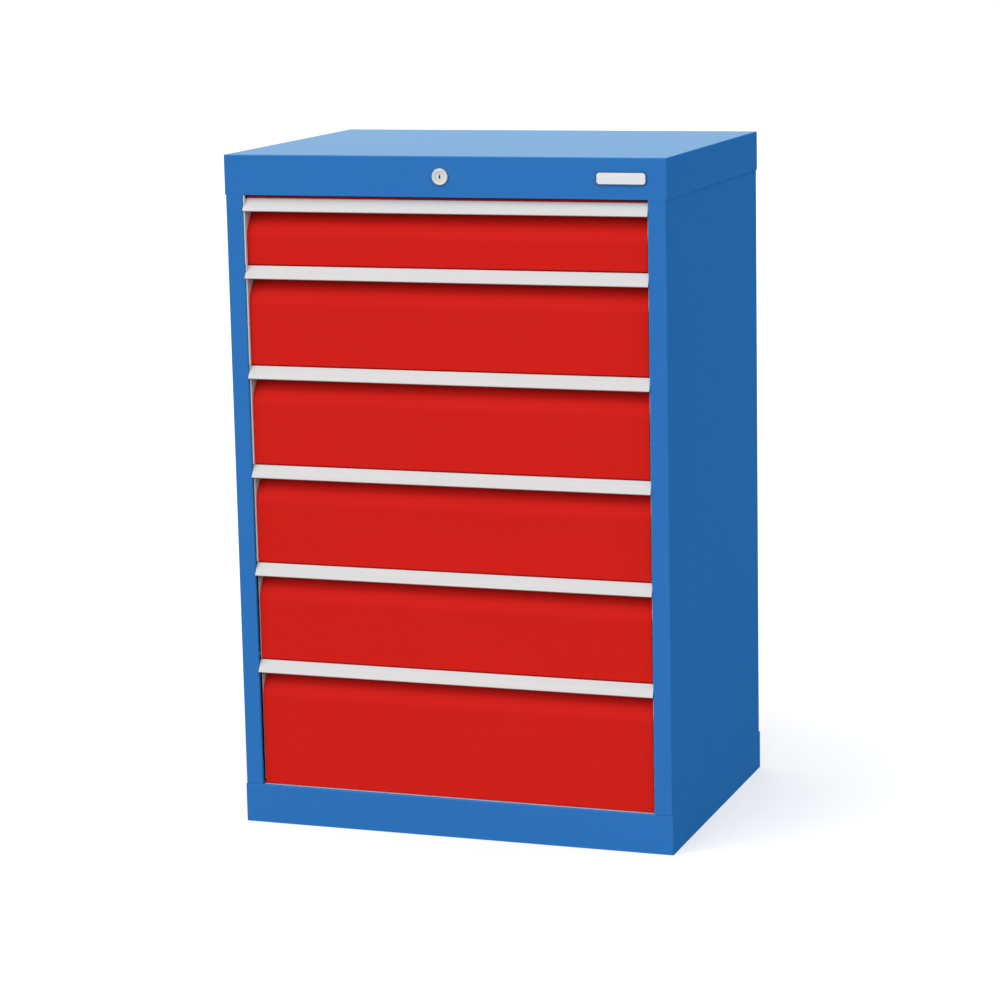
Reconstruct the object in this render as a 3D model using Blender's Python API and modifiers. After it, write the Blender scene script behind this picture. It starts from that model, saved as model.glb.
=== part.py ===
"""Industrial drawer cabinet with six drawers on telescopic slides and a central lock.

Metres, +Z up. X runs to the right and Y to the back, as seen from the front. The origin is
on the floor, in the middle of the whole footprint, with the reach of the handles counted.
"""
import math

import bmesh
import bpy
from mathutils import Matrix, Vector

# Housing
WIDTH = 0.680
DEPTH = 0.500
COVER_HEIGHT = 0.0595
PLINTH_HEIGHT = 0.0595
HOUSING_SHEET = 0.0012
COVER_STAND_OUT = 0.0013
COVER_FLANGE = 0.030
PLINTH_FLANGE = 0.035
UPRIGHT_WIDTH = 0.0272
UPRIGHT_LIP = 0.0035
REAR_FLANGE = 0.022

# Posts behind the side panels
POST_WIDTH = 0.030
FRONT_POST_SETBACK = 0.058
REAR_POST_MARGIN = 0.032

# Drawer pitches, and their order from top to bottom
SHALLOW_PITCH = 0.100
MEDIUM_PITCH = 0.150
DEEP_PITCH = 0.200
PITCHES = (SHALLOW_PITCH, MEDIUM_PITCH, MEDIUM_PITCH, MEDIUM_PITCH, MEDIUM_PITCH, DEEP_PITCH)

# Drawer fronts
FACE_SETBACK = 0.006
CHEEK_SETBACK = 0.001
CHEEK_CLEARANCE = 0.001
FRONT_SHEET = 0.0012
FRONT_CLEARANCE = 0.0012
FLOOR_CLEARANCE = 0.0008
RECESS_DEPTH = 0.023
RECESS_SLOPE_HEIGHT = 0.026

# Handle profiles
HANDLE_REACH = 0.003
HANDLE_TOP_SETBACK = 0.007
HANDLE_DROP = 0.0048
HANDLE_HEIGHT = 0.019
HANDLE_WALL = 0.0018
HANDLE_LIP = 0.006
HANDLE_NOSE = 0.001
HANDLE_LAP = 0.0012

# Drawer boxes
DRAWER_SHEET = 0.0012
BOX_MARGIN = 0.060
BOX_LIFT = 0.004
BOX_DROP = 0.018

# Slides
RAIL_MARGIN = 0.060
RAIL_SHEET = 0.0015
RAIL_HEIGHT = 0.046
RAIL_LEVEL = 0.030
RAIL_SETBACK = 0.036
RAIL_FLANGE = 0.0100
MIDDLE_RAIL_FLANGE = 0.0110
PASS_CLEARANCE = 0.001
RUN_CLEARANCE = 0.0005
RUNNER_DEPTH = 0.015

# Name plate
PLATE_LENGTH = 0.076
PLATE_HEIGHT = 0.020
PLATE_THICKNESS = 0.0012
PLATE_CORNER = 0.0045
PLATE_MARGIN = 0.029

# Lock in the fascia
LOCK_LEVEL = 0.030
ROSETTE_RADIUS = 0.01225
ROSETTE_THICKNESS = 0.0022
ROSETTE_EDGE = 0.0008
LOCK_BODY_RADIUS = 0.0092
LOCK_BODY_LENGTH = 0.0205
LOCK_BORE_RADIUS = 0.0070
CYLINDER_RECESS = 0.0008
CYLINDER_TAIL = 0.002
KEYHOLE_WIDTH = 0.0020
KEYHOLE_HEIGHT = 0.0085
KEYHOLE_DEPTH = 0.012

# Cam, link bar and lock shaft
CAM_RADIUS = 0.012
CAM_SWING = math.radians(90)
CAM_WIDTH = 0.013
CAM_PLATE = 0.002
PIN_RADIUS = 0.0025
PIN_CLEARANCE = 0.0007
LINK_SHEET = 0.002
LINK_HEIGHT = 0.022
LINK_OVERHANG = 0.014
LINK_LIFT = 0.0065
TAB_WIDTH = 0.013
GUIDE_SHEET = 0.003
GUIDE_DISTANCE = 0.100
GUIDE_BORDER = 0.005
GUIDE_CLEARANCE = 0.0004
SHAFT_RADIUS = 0.004
SHAFT_INSET = 0.0162
SHAFT_SETBACK = 0.025
SHAFT_CLEARANCE = 0.0006
SHAFT_SWING = math.radians(69)
LEVER_WIDTH = 0.009
LEVER_PLATE = 0.003
TONGUE_REACH = 0.0205
TONGUE_WIDTH = 0.006
TONGUE_PLATE = 0.003
TONGUE_LEVEL = 0.002
TONGUE_SLOT_MARGIN = 0.001
TONGUE_SLOT_FRONT = 0.018

# Gap between pieces that touch, overrun of the cutters, and steps round a turned piece
SEAT_GAP = 0.0003
OVERRUN = 0.005
ROUND_STEPS = 24

# Places worked out from the sizes
HEIGHT = PLINTH_HEIGHT + sum(PITCHES) + COVER_HEIGHT
FRONT_Y = (HANDLE_REACH - DEPTH) / 2
REAR_Y = FRONT_Y + DEPTH
OPENING_TOP = HEIGHT - COVER_HEIGHT
BODY_HALF = WIDTH / 2 - COVER_STAND_OUT
BODY_REAR_Y = REAR_Y - COVER_STAND_OUT
OPENING_HALF = BODY_HALF - UPRIGHT_WIDTH
BODY_BOTTOM = PLINTH_HEIGHT + SEAT_GAP
BODY_TOP = OPENING_TOP - SEAT_GAP
CHEEK_HALF = OPENING_HALF - CHEEK_CLEARANCE
FRONT_HALF = CHEEK_HALF - DRAWER_SHEET - SEAT_GAP
FACE_Y = FRONT_Y + FACE_SETBACK
RECESS_Y = FACE_Y + RECESS_DEPTH
BULKHEAD_Y = RECESS_Y + FRONT_SHEET + SEAT_GAP
RAIL_Y = FRONT_Y + RAIL_SETBACK
RAIL_LENGTH = DEPTH - RAIL_MARGIN
BOX_LENGTH = DEPTH - BOX_MARGIN
MIDDLE_RAIL_HALF = OPENING_HALF - PASS_CLEARANCE
CABINET_RAIL_HALF = MIDDLE_RAIL_HALF + RUN_CLEARANCE + RAIL_SHEET
RUNNER_HALF = MIDDLE_RAIL_HALF - RAIL_SHEET - RUN_CLEARANCE
BOX_HALF = RUNNER_HALF - RUNNER_DEPTH
MIDDLE_RAIL_HEIGHT = RAIL_HEIGHT - 2 * (RAIL_SHEET + RUN_CLEARANCE)
RUNNER_HEIGHT = MIDDLE_RAIL_HEIGHT - 2 * (RAIL_SHEET + RUN_CLEARANCE)
POST_HALF = CABINET_RAIL_HALF + SEAT_GAP
LOCK_Z = OPENING_TOP + LOCK_LEVEL
CAM_Y = FRONT_Y + LOCK_BODY_LENGTH + CYLINDER_TAIL + SEAT_GAP
LINK_Y = CAM_Y + CAM_PLATE + SEAT_GAP
LINK_TRAVEL = 2 * CAM_RADIUS * math.sin(CAM_SWING / 2)
LINK_Z = OPENING_TOP + LINK_LIFT
LEVER_RADIUS = LINK_TRAVEL / 2 / math.sin(SHAFT_SWING / 2)
SHAFT_X = -(OPENING_HALF + UPRIGHT_WIDTH - SHAFT_INSET)
SHAFT_Y = FRONT_Y + SHAFT_SETBACK
LEVER_Z = OPENING_TOP + HOUSING_SHEET + 2 * SEAT_GAP
LEVER_PIN_X = SHAFT_X + LINK_TRAVEL / 2
LEVER_PIN_Y = SHAFT_Y + LEVER_RADIUS * math.cos(SHAFT_SWING / 2)

AXES = {"X": Vector((1, 0, 0)), "Y": Vector((0, 1, 0)), "Z": Vector((0, 0, 1))}


def clear_scene():
    """Empty the scene and make one collection for the parts and one for the cutters."""
    for leftover in list(bpy.data.objects):
        bpy.data.objects.remove(leftover, do_unlink=True)
    collections = []
    for name in ("drawer_cabinet", "cutters"):
        collection = bpy.data.collections.new(name)
        bpy.context.scene.collection.children.link(collection)
        collections.append(collection)
    return collections


PARTS, CUTTERS = clear_scene()


def paint(name, colour, roughness, metallic=0.0):
    """A plain material with the part's colour."""
    material = bpy.data.materials.new(name)
    material.use_nodes = True
    shader = material.node_tree.nodes["Principled BSDF"]
    shader.inputs["Base Color"].default_value = (*colour, 1)
    shader.inputs["Roughness"].default_value = roughness
    shader.inputs["Metallic"].default_value = metallic
    return material


BLUE = paint("housing_blue", (0.028, 0.170, 0.480), 0.45)
RED = paint("front_red", (0.617, 0.015, 0.011), 0.42)
GREY = paint("drawer_grey", (0.560, 0.565, 0.560), 0.50)
ALUMINIUM = paint("handle_aluminium", (0.740, 0.740, 0.740), 0.35, 0.6)
ZINC = paint("rail_zinc", (0.560, 0.570, 0.590), 0.35, 1.0)
NICKEL = paint("lock_nickel", (0.660, 0.650, 0.620), 0.22, 1.0)
PLATE = paint("plate_grey", (0.720, 0.730, 0.740), 0.40)


def add_object(name, mesh, material=None):
    """Put a mesh in the scene, as a part, or as a cutter where it has no material."""
    thing = bpy.data.objects.new(name, mesh)
    if material is None:
        CUTTERS.objects.link(thing)
        thing.hide_render = True
        thing.display_type = "WIRE"
    else:
        PARTS.objects.link(thing)
        mesh.materials.append(material)
    return thing


def finish_mesh(name, work):
    """Turn a bmesh into a mesh."""
    mesh = bpy.data.meshes.new(name)
    work.to_mesh(mesh)
    work.free()
    return mesh


def shape_cube(work, low, high):
    """Add a box between two corners to a bmesh, and return its vertices."""
    low, high = Vector(low), Vector(high)
    vertices = bmesh.ops.create_cube(work, size=1)["verts"]
    bmesh.ops.scale(work, verts=vertices, vec=high - low)
    bmesh.ops.translate(work, verts=vertices, vec=(low + high) / 2)
    return vertices


def block(name, low, high, material=None):
    """A box between two corners."""
    work = bmesh.new()
    shape_cube(work, low, high)
    return add_object(name, finish_mesh(name, work), material)


def rod(name, radius, start, end, material=None):
    """A round bar between two points."""
    start, end = Vector(start), Vector(end)
    work = bmesh.new()
    turn = Vector((0, 0, 1)).rotation_difference(end - start).to_matrix().to_4x4()
    bmesh.ops.create_cone(work, cap_ends=True, segments=ROUND_STEPS, radius1=radius, radius2=radius,
                          depth=(end - start).length,
                          matrix=Matrix.Translation((start + end) / 2) @ turn)
    return add_object(name, finish_mesh(name, work), material)


def thicken(thing, sheet, offset):
    """Give an open surface its sheet thickness."""
    solidify = thing.modifiers.new("sheet", "SOLIDIFY")
    solidify.thickness = sheet
    solidify.offset = offset
    solidify.use_even_offset = True


def folded(name, path, axis, start, end, sheet, material=None):
    """A folded sheet: the outer line of its section, drawn along an axis.

    The path is in the plane of the other two axes, and the sheet lies on its right.
    """
    first, second = [AXES[letter] for letter in "XYZ" if letter != axis]
    outward = 1 if axis != "Y" else -1
    work = bmesh.new()
    rows = []
    for place in (start, end):
        rows.append([work.verts.new(first * a + second * b + AXES[axis] * place) for a, b in path])
    for i in range(len(path) - 1):
        work.faces.new([rows[0][i], rows[0][i + 1], rows[1][i + 1], rows[1][i]][::outward])
    thing = add_object(name, finish_mesh(name, work), material)
    thicken(thing, sheet, 1)
    return thing


def mirrored(path):
    """The same section on the left, still with the sheet on the right of its path."""
    return [(-a, b) for a, b in reversed(path)]


def tray(name, low, high, flange, sheet, open_side, material):
    """A box of folded sheet, open above or below. Its mouth may have a flange turned in all round."""
    work = bmesh.new()
    shape_cube(work, low, high)
    mouth = [face for face in work.faces if face.normal.z * open_side > 0.5]
    bmesh.ops.delete(work, geom=mouth, context="FACES_ONLY")
    if flange:
        rim = [edge for edge in work.edges if edge.is_boundary]
        grown = bmesh.ops.extrude_edge_only(work, edges=rim)["geom"]
        middle = (Vector(low) + Vector(high)) / 2
        for vertex in [item for item in grown if isinstance(item, bmesh.types.BMVert)]:
            vertex.co.x -= math.copysign(flange, vertex.co.x - middle.x)
            vertex.co.y -= math.copysign(flange, vertex.co.y - middle.y)
    bmesh.ops.recalc_face_normals(work, faces=work.faces)
    thing = add_object(name, finish_mesh(name, work), material)
    thicken(thing, sheet, -1)
    return thing


def cut(target, cutter):
    """Take the cutter away from the target."""
    boolean = target.modifiers.new("cut", "BOOLEAN")
    boolean.operation = "DIFFERENCE"
    boolean.object = cutter


def join(target, piece):
    """Weld another shape to the target."""
    boolean = target.modifiers.new("join", "BOOLEAN")
    boolean.operation = "UNION"
    boolean.object = piece


def outline_mesh(name, outline, half_length):
    """A closed outline in Y and Z, drawn out along X to both sides, as a welded mesh."""
    curve = bpy.data.curves.new(name, "CURVE")
    curve.dimensions = "2D"
    curve.fill_mode = "BOTH"
    curve.extrude = half_length
    spline = curve.splines.new("POLY")
    spline.points.add(len(outline) - 1)
    for point, (y, z) in zip(spline.points, outline):
        point.co = (y, z, 0, 1)
    spline.use_cyclic_u = True
    guide = bpy.data.objects.new(name + "_outline", curve)
    CUTTERS.objects.link(guide)
    bpy.context.view_layer.update()
    evaluated = guide.evaluated_get(bpy.context.evaluated_depsgraph_get())
    mesh = bpy.data.meshes.new_from_object(evaluated)
    bpy.data.objects.remove(guide, do_unlink=True)
    work = bmesh.new()
    work.from_mesh(mesh)
    bmesh.ops.remove_doubles(work, verts=work.verts, dist=SEAT_GAP / 10)
    bmesh.ops.recalc_face_normals(work, faces=work.faces)
    work.to_mesh(mesh)
    work.free()
    mesh.transform(Matrix.Rotation(math.radians(90), 4, "Z") @ Matrix.Rotation(math.radians(90), 4, "X"))
    return mesh


def turned(name, profile, place, material):
    """A turned piece whose axis points to the front. Its profile is (radius, height) pairs."""
    work = bmesh.new()
    vertices = [work.verts.new((radius, 0, height)) for radius, height in profile]
    for i, vertex in enumerate(vertices):
        work.edges.new((vertex, vertices[(i + 1) % len(vertices)]))
    thing = add_object(name, finish_mesh(name, work), material)
    thing.location = place
    thing.rotation_euler = (math.radians(90), 0, 0)
    screw = thing.modifiers.new("turn", "SCREW")
    screw.steps = ROUND_STEPS
    screw.render_steps = ROUND_STEPS
    screw.use_merge_vertices = True
    screw.merge_threshold = SEAT_GAP / 10
    screw.use_smooth_shade = True
    return thing


def build_cover_and_plinth():
    """The top cover and the plinth are trays, open below, that stand out beyond the body."""
    cover = tray("top_cover", (-WIDTH / 2, FRONT_Y, OPENING_TOP), (WIDTH / 2, REAR_Y, HEIGHT),
                 COVER_FLANGE, HOUSING_SHEET, -1, BLUE)
    cut(cover, rod("lock_hole", LOCK_BODY_RADIUS + SEAT_GAP,
                   (0, FRONT_Y - OVERRUN, LOCK_Z), (0, FRONT_Y + OVERRUN, LOCK_Z)))
    cut(cover, rod("shaft_hole", SHAFT_RADIUS + SHAFT_CLEARANCE,
                   (SHAFT_X, SHAFT_Y, OPENING_TOP - OVERRUN), (SHAFT_X, SHAFT_Y, OPENING_TOP + OVERRUN)))
    tray("plinth", (-WIDTH / 2, FRONT_Y, 0), (WIDTH / 2, REAR_Y, PLINTH_HEIGHT),
         PLINTH_FLANGE, HOUSING_SHEET, -1, BLUE)


def build_body():
    """Side panels with folded front uprights, the back panel, and the posts for the slides."""
    panel = [
        (BODY_HALF - REAR_FLANGE, BODY_REAR_Y),
        (BODY_HALF, BODY_REAR_Y),
        (BODY_HALF, FRONT_Y),
        (OPENING_HALF, FRONT_Y),
        (OPENING_HALF, FRONT_Y + UPRIGHT_LIP),
    ]
    folded("left_side_panel", mirrored(panel), "Z", BODY_BOTTOM, BODY_TOP, HOUSING_SHEET, BLUE)
    folded("right_side_panel", panel, "Z", BODY_BOTTOM, BODY_TOP, HOUSING_SHEET, BLUE)

    back_y = BODY_REAR_Y - HOUSING_SHEET - SEAT_GAP
    back_half = BODY_HALF - HOUSING_SHEET - SEAT_GAP
    block("back_panel", (-back_half, back_y - HOUSING_SHEET, BODY_BOTTOM), (back_half, back_y, BODY_TOP), BLUE)

    post_outer = BODY_HALF - HOUSING_SHEET - SEAT_GAP
    front_y = FRONT_Y + FRONT_POST_SETBACK
    rear_y = back_y - HOUSING_SHEET - REAR_POST_MARGIN - POST_WIDTH
    for end, y in (("front", front_y), ("rear", rear_y)):
        post = [(post_outer, y), (POST_HALF, y), (POST_HALF, y + POST_WIDTH), (post_outer, y + POST_WIDTH)]
        folded(end + "_left_post", mirrored(post), "Z", BODY_BOTTOM, BODY_TOP, RAIL_SHEET, ZINC)
        folded(end + "_right_post", post, "Z", BODY_BOTTOM, BODY_TOP, RAIL_SHEET, ZINC)


def channel(outer, height, flange, level):
    """The section of a rail on the right: a channel that is open to the drawer."""
    return [
        (outer - flange, level + height / 2),
        (outer, level + height / 2),
        (outer, level - height / 2),
        (outer - flange, level - height / 2),
    ]


def build_slides(number, bottom):
    """A fixed cabinet rail and a middle rail on each side of a drawer."""
    level = bottom + RAIL_LEVEL
    rails = (
        ("cabinet_rail", channel(CABINET_RAIL_HALF, RAIL_HEIGHT, RAIL_FLANGE, level)),
        ("middle_rail", channel(MIDDLE_RAIL_HALF, MIDDLE_RAIL_HEIGHT, MIDDLE_RAIL_FLANGE, level)),
    )
    for kind, section in rails:
        name = f"drawer_{number}_{kind}_"
        end_y = RAIL_Y + RAIL_LENGTH
        folded(name + "left", mirrored(section), "Y", RAIL_Y, end_y, RAIL_SHEET, ZINC)
        folded(name + "right", section, "Y", RAIL_Y, end_y, RAIL_SHEET, ZINC)


def build_box(number, bottom, pitch, edge):
    """The grey drawer body: an open box, a bulkhead with two cheeks, and the runners."""
    name = f"drawer_{number}_box"
    box_y = BULKHEAD_Y + DRAWER_SHEET / 2
    box = tray(name, (-BOX_HALF, box_y, bottom + BOX_LIFT),
               (BOX_HALF, box_y + BOX_LENGTH, bottom + pitch - BOX_DROP),
               0, DRAWER_SHEET, 1, GREY)

    bulkhead_rear = BULKHEAD_Y + DRAWER_SHEET
    cheek_y = FRONT_Y + CHEEK_SETBACK
    bulkhead = [
        (-CHEEK_HALF, cheek_y),
        (-CHEEK_HALF, bulkhead_rear),
        (CHEEK_HALF, bulkhead_rear),
        (CHEEK_HALF, cheek_y),
    ]
    join(box, folded(name + "_bulkhead", bulkhead, "Z", edge, bottom + pitch - HANDLE_DROP, DRAWER_SHEET))

    runner = channel(RUNNER_HALF, RUNNER_HEIGHT, RUNNER_DEPTH + DRAWER_SHEET / 2, bottom + RAIL_LEVEL)
    for side, section in (("left", mirrored(runner)), ("right", runner)):
        join(box, folded(f"{name}_runner_{side}", section, "Y", RAIL_Y, RAIL_Y + BOX_LENGTH - OVERRUN, DRAWER_SHEET))

    tongue = bottom + TONGUE_LEVEL
    cut(box, block(name + "_tongue_slot",
                   (-CHEEK_HALF - OVERRUN, SHAFT_Y - TONGUE_SLOT_FRONT, tongue - TONGUE_SLOT_MARGIN),
                   (-CHEEK_HALF + OVERRUN, SHAFT_Y + TONGUE_WIDTH / 2 + TONGUE_SLOT_MARGIN,
                    tongue + TONGUE_PLATE + TONGUE_SLOT_MARGIN)))


def build_front(number, bottom, pitch, edge):
    """The red front: its face slopes back under the handle and rises behind it."""
    top = bottom + pitch - HANDLE_DROP
    slope_top = top - HANDLE_HEIGHT
    section = [
        (BULKHEAD_Y - SEAT_GAP, edge),
        (FACE_Y, edge),
        (FACE_Y, slope_top - RECESS_SLOPE_HEIGHT),
        (RECESS_Y, slope_top),
        (RECESS_Y, top),
    ]
    folded(f"drawer_{number}_front", section, "X", -FRONT_HALF, FRONT_HALF, FRONT_SHEET, RED)


def handle_lean():
    """How far the handle's face leans back, from its lower to its upper edge, per metre of height."""
    return (HANDLE_TOP_SETBACK + HANDLE_REACH) / (HANDLE_HEIGHT - HANDLE_NOSE)


def handle_run():
    """The level width of the handle's leaning wall."""
    return HANDLE_WALL * math.hypot(1, handle_lean())


def build_handle(number, bottom, pitch):
    """The aluminium profile: a leaning face, a lip for the fingers and a web behind the face."""
    name = f"drawer_{number}_handle"
    top = bottom + pitch - HANDLE_DROP
    low = top - HANDLE_HEIGHT
    front = FRONT_Y - HANDLE_REACH
    web = top - FRONT_SHEET - SEAT_GAP
    web_y = RECESS_Y - SEAT_GAP

    def behind(z):
        """A point on the rear side of the leaning wall."""
        return (FRONT_Y + HANDLE_TOP_SETBACK - (top - z) * handle_lean() + handle_run(), z)

    outline = [
        (front, low + HANDLE_NOSE),
        (front + HANDLE_NOSE, low),
        (front + HANDLE_LIP, low),
        (front + HANDLE_LIP, low + HANDLE_WALL),
        behind(low + HANDLE_WALL),
        behind(web - HANDLE_WALL),
        (web_y, web - HANDLE_WALL),
        (web_y, web),
        behind(web),
        behind(top),
        (FRONT_Y + HANDLE_TOP_SETBACK, top),
    ]
    lapped = OPENING_HALF + HANDLE_LAP
    handle = add_object(name, outline_mesh(name, outline, lapped), ALUMINIUM)
    for side in (-1, 1):
        inner, outer = sorted((side * FRONT_HALF, side * (lapped + OVERRUN)))
        cut(handle, block(f"{name}_end_cut_{side}",
                          (inner, FRONT_Y - SEAT_GAP, low - OVERRUN),
                          (outer, web_y + OVERRUN, top + OVERRUN)))


def build_drawers():
    """All drawers, from the top one down. Only the lowest one stands over the plinth."""
    bottom = OPENING_TOP
    for number, pitch in enumerate(PITCHES, start=1):
        bottom -= pitch
        lowest = number == len(PITCHES)
        edge = bottom + (FLOOR_CLEARANCE if lowest else FRONT_CLEARANCE - HANDLE_DROP)
        build_slides(number, bottom)
        build_box(number, bottom, pitch, edge)
        build_front(number, bottom, pitch, edge)
        build_handle(number, bottom, pitch)


def build_name_plate():
    """A bare plate with rounded corners at the right of the fascia."""
    right = WIDTH / 2 - PLATE_MARGIN
    low_z = LOCK_Z - PLATE_HEIGHT / 2
    rear = FRONT_Y - SEAT_GAP
    work = bmesh.new()
    shape_cube(work, (right - PLATE_LENGTH, rear - PLATE_THICKNESS, low_z), (right, rear, low_z + PLATE_HEIGHT))
    corners = [edge for edge in work.edges if abs((edge.verts[0].co - edge.verts[1].co).y) > PLATE_THICKNESS / 2]
    bmesh.ops.bevel(work, geom=corners, offset=PLATE_CORNER, segments=4, profile=0.5, affect="EDGES")
    add_object("name_plate", finish_mesh("name_plate", work), PLATE)


def build_lock():
    """The rosette with its hollow body, the cylinder with its keyhole, and the cam behind it."""
    place = Vector((0, FRONT_Y, LOCK_Z))
    rosette_top = SEAT_GAP + ROSETTE_THICKNESS
    turned("lock_rosette", [
        (ROSETTE_RADIUS - ROSETTE_EDGE, rosette_top),
        (ROSETTE_RADIUS, rosette_top - ROSETTE_EDGE),
        (ROSETTE_RADIUS, SEAT_GAP),
        (LOCK_BODY_RADIUS, SEAT_GAP),
        (LOCK_BODY_RADIUS, -LOCK_BODY_LENGTH),
        (LOCK_BORE_RADIUS, -LOCK_BODY_LENGTH),
        (LOCK_BORE_RADIUS, rosette_top),
    ], place, NICKEL)

    radius = LOCK_BORE_RADIUS - SEAT_GAP
    face = rosette_top - CYLINDER_RECESS
    cylinder = rod("lock_cylinder", radius, (0, -face, 0), (0, LOCK_BODY_LENGTH + CYLINDER_TAIL, 0), NICKEL)
    cylinder.location = place
    keyhole = block("keyhole", (-KEYHOLE_WIDTH / 2, -face - OVERRUN, -KEYHOLE_HEIGHT / 2),
                    (KEYHOLE_WIDTH / 2, KEYHOLE_DEPTH, KEYHOLE_HEIGHT / 2))
    keyhole.location = place
    cut(cylinder, keyhole)

    depth = CAM_Y - FRONT_Y
    cam = block("lock_cam", (-CAM_WIDTH / 2, depth, -CAM_RADIUS - CAM_WIDTH / 2),
                (CAM_WIDTH / 2, depth + CAM_PLATE, CAM_WIDTH / 2), ZINC)
    pin = rod("lock_cam_pin", PIN_RADIUS, (0, depth + CAM_PLATE / 2, -CAM_RADIUS),
              (0, depth + CAM_PLATE + LINK_SHEET + 2 * PIN_CLEARANCE, -CAM_RADIUS))
    join(cam, pin)
    for piece in (cam, pin):
        piece.location = place
        piece.rotation_euler = (0, -CAM_SWING / 2, 0)


def build_link():
    """The bar that carries the cam's motion to the lock shaft, and the guide that holds it."""
    slot = PIN_RADIUS + PIN_CLEARANCE
    cam_pin_x = CAM_RADIUS * math.sin(CAM_SWING / 2)
    cam_pin_high = LOCK_Z - CAM_RADIUS * math.cos(CAM_SWING / 2)
    cam_pin_low = LOCK_Z - CAM_RADIUS
    tab_left = LEVER_PIN_X - TAB_WIDTH / 2
    bar = block("lock_link", (tab_left, LINK_Y, LINK_Z),
                (cam_pin_x + LINK_OVERHANG, LINK_Y + LINK_SHEET, LINK_Z + LINK_HEIGHT), ZINC)
    tab_rear = SHAFT_Y + LEVER_RADIUS + TAB_WIDTH / 2
    join(bar, block("lock_link_tab", (tab_left, LINK_Y, LINK_Z),
                    (tab_left + TAB_WIDTH, tab_rear, LINK_Z + LINK_SHEET)))
    cut(bar, block("cam_pin_slot", (cam_pin_x - slot, LINK_Y - OVERRUN, cam_pin_low - slot),
                   (cam_pin_x + slot, LINK_Y + OVERRUN, cam_pin_high + slot)))
    cut(bar, block("lever_pin_slot", (LEVER_PIN_X - slot, LEVER_PIN_Y - slot, LINK_Z - OVERRUN),
                   (LEVER_PIN_X + slot, SHAFT_Y + LEVER_RADIUS + slot, LINK_Z + OVERRUN)))

    hole_low = LINK_Z - GUIDE_CLEARANCE
    guide = block("lock_link_guide",
                  (-GUIDE_DISTANCE - GUIDE_SHEET, LINK_Y - GUIDE_BORDER, OPENING_TOP + HOUSING_SHEET + SEAT_GAP),
                  (-GUIDE_DISTANCE, LINK_Y + LINK_SHEET + GUIDE_BORDER, HEIGHT - HOUSING_SHEET - SEAT_GAP), ZINC)
    cut(guide, block("lock_link_guide_window",
                     (-GUIDE_DISTANCE - GUIDE_SHEET - OVERRUN, LINK_Y - GUIDE_CLEARANCE, hole_low),
                     (-GUIDE_DISTANCE + OVERRUN, LINK_Y + LINK_SHEET + GUIDE_CLEARANCE,
                      LINK_Z + LINK_HEIGHT + GUIDE_CLEARANCE)))


def arm(name, angle, width, reach, low, high):
    """A flat arm from the lock shaft's axis, at an angle from +X."""
    piece = block(name, (0, -width / 2, low), (reach, width / 2, high))
    piece.location = (SHAFT_X, SHAFT_Y, 0)
    piece.rotation_euler = (0, 0, angle)
    return piece


def build_lock_shaft():
    """The upright shaft: a lever under the link bar, and a tongue for each drawer."""
    lever_top = LEVER_Z + LEVER_PLATE
    shaft = rod("lock_shaft", SHAFT_RADIUS, (0, 0, BODY_BOTTOM), (0, 0, lever_top), ZINC)
    shaft.location = (SHAFT_X, SHAFT_Y, 0)
    lever_angle = math.radians(90) - SHAFT_SWING / 2
    join(shaft, arm("lock_lever", lever_angle, LEVER_WIDTH, LEVER_RADIUS + LEVER_WIDTH / 2, LEVER_Z, lever_top))
    join(shaft, rod("lock_lever_pin", PIN_RADIUS, (LEVER_PIN_X, LEVER_PIN_Y, LEVER_Z + LEVER_PLATE / 2),
                    (LEVER_PIN_X, LEVER_PIN_Y, LINK_Z + LINK_SHEET + PIN_CLEARANCE)))
    bottom = OPENING_TOP
    for number, pitch in enumerate(PITCHES, start=1):
        bottom -= pitch
        low = bottom + TONGUE_LEVEL
        join(shaft, arm(f"lock_tongue_{number}", -SHAFT_SWING, TONGUE_WIDTH, TONGUE_REACH, low, low + TONGUE_PLATE))


build_cover_and_plinth()
build_body()
build_drawers()
build_name_plate()
build_lock()
build_link()
build_lock_shaft()
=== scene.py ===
"""Looks of the industrial drawer cabinet: camera, studio, materials and detailed pieces.

Metres, in the frame of the CAD model: X to the right, Y to the back, Z up, floor at zero.
"""
import math

import bmesh
import bpy
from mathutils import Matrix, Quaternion, Vector


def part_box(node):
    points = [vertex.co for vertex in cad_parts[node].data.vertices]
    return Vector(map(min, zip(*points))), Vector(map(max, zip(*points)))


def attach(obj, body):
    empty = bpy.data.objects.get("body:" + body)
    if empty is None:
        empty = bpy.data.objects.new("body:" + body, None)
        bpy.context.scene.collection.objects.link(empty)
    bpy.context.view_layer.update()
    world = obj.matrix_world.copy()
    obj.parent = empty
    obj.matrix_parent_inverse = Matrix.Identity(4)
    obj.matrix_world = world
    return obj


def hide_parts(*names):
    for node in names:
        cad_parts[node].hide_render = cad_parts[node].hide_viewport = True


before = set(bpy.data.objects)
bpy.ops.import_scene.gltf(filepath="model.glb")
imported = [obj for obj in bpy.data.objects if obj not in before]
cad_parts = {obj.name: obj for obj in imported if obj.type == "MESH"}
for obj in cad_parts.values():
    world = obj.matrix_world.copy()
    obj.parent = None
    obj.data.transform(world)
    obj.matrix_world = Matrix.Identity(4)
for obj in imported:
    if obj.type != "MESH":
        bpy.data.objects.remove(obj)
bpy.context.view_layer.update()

# Sizes shared with the CAD model
SHEET = 0.0012
RAIL_SHEET = 0.0015
GAP = 0.0003
OPENING_HALF = 0.3115
COVER_FLANGE = 0.030
PLINTH_FLANGE = 0.035
UPRIGHT_LIP = 0.0035
REAR_FLANGE = 0.022
RECESS_DEPTH = 0.023
RECESS_SLOPE = 0.026
HANDLE_REACH = 0.003
HANDLE_SETBACK = 0.007
HANDLE_HEIGHT = 0.019
HANDLE_WALL = 0.0018
HANDLE_LIP = 0.006
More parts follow.
